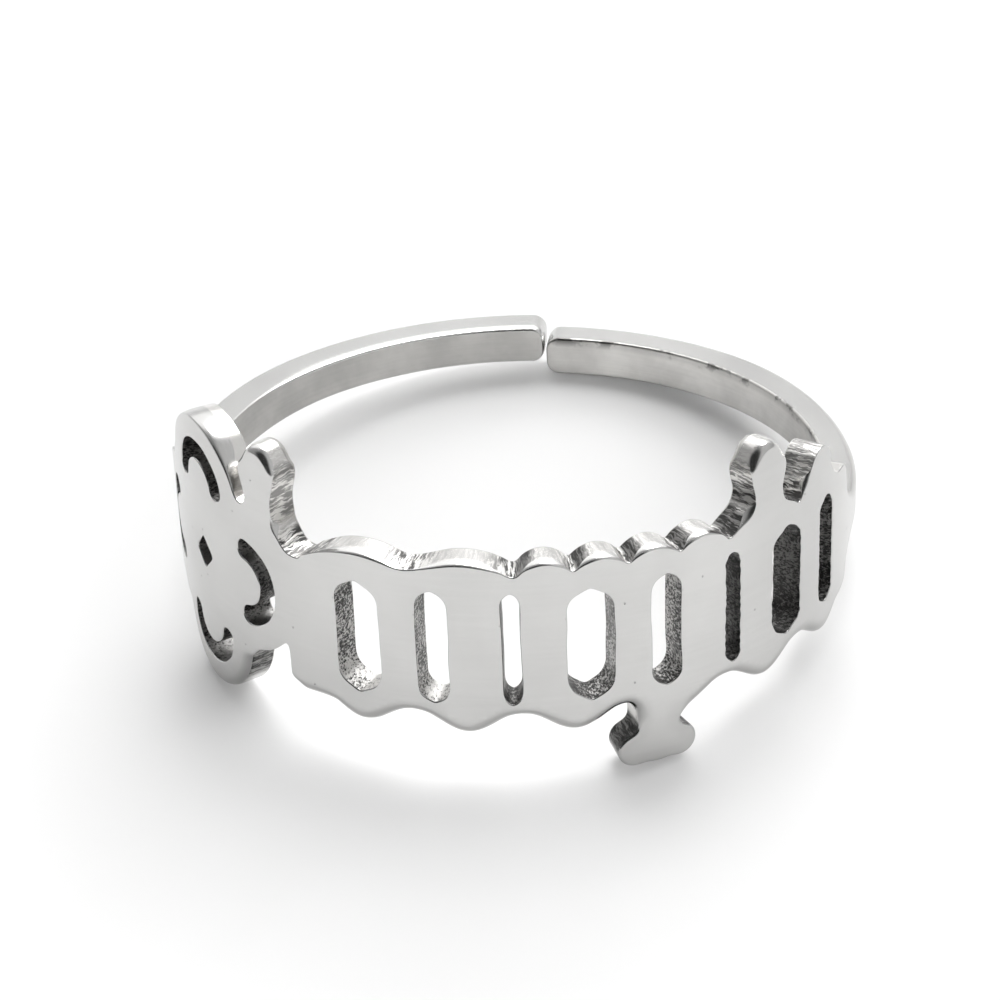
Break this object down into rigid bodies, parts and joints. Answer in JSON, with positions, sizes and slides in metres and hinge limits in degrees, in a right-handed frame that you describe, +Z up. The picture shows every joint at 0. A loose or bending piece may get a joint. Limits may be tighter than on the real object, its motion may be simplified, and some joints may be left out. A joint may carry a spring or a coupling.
{
  "type": "initial ring",
  "caption": "Open-ended steel finger ring lying flat: a pierced front plate of plain pointed tracery, where an initial ring has its letters, on a slim rounded band.",
  "frame": {"origin": "middle of the ring's footprint, on the surface that it lies on", "axes": "+Z up from that surface; the middle of the pierced plate faces -Y, and the band's two ends meet at the back, +Y"},
  "size_m": [0.0194, 0.0194, 0.0085],
  "materials": {
    "steel": "polished"
  },
  "bodies": {
    "root": {"ring": "steel"}
  },
  "joints": []
}
